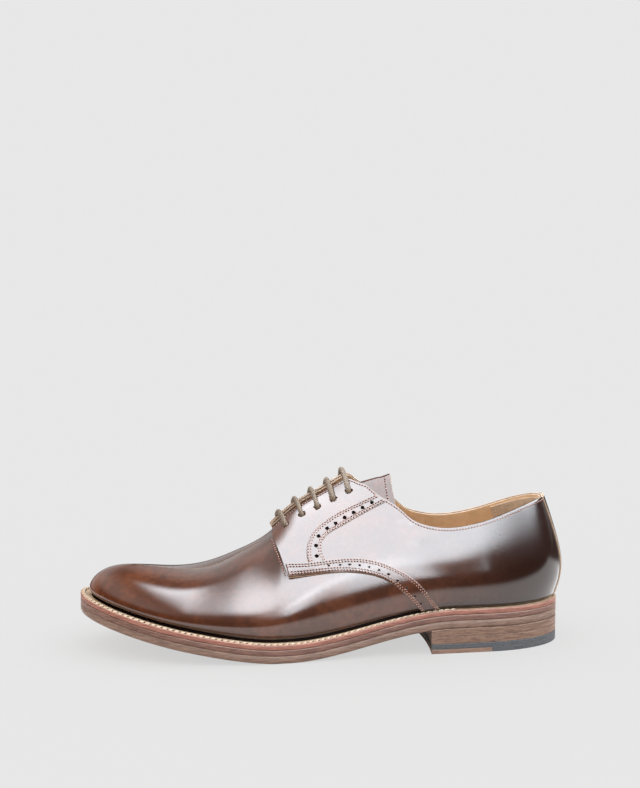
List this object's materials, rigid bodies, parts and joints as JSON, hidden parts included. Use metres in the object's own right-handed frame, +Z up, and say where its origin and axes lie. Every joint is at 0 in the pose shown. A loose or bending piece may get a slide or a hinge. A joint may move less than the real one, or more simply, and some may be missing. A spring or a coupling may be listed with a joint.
{
  "type": "plain toe derby shoe",
  "caption": "Plain toe derby shoe in brown calf with laced open quarters edged by a punched band, stitched welt, thick leather sole and stacked heel.",
  "frame": {"origin": "middle of the bounding box on the floor, under the shoe's waist", "axes": "-X towards the toe, -Y towards the outer (lateral) side, +Z up from the floor"},
  "size_m": [0.3063, 0.1073, 0.1121],
  "materials": {
    "calf": "polished brown calf",
    "tongue": "brown calf",
    "welt": "natural welt leather, edge dyed red-brown",
    "edge": "waxed sole edge",
    "outsole": "waxed sole edge and plain underside",
    "lift": "waxed stacked leather",
    "rubber": "dark grey rubber",
    "insole": "tan lining leather",
    "cord": "waxed round cotton lace"
  },
  "bodies": {
    "root": {"outsole": "outsole", "midsole": "edge", "welt": "welt", "insole": "insole", "heel_lift_upper": "lift", "heel_lift_lower": "lift", "heel_top_piece": "rubber", "heel_tip": "lift", "upper": "calf", "tongue": "tongue", "brogue_band_lateral": "calf", "brogue_band_medial": "calf", "back_strip": "calf", "lace": "cord"}
  },
  "joints": []
}
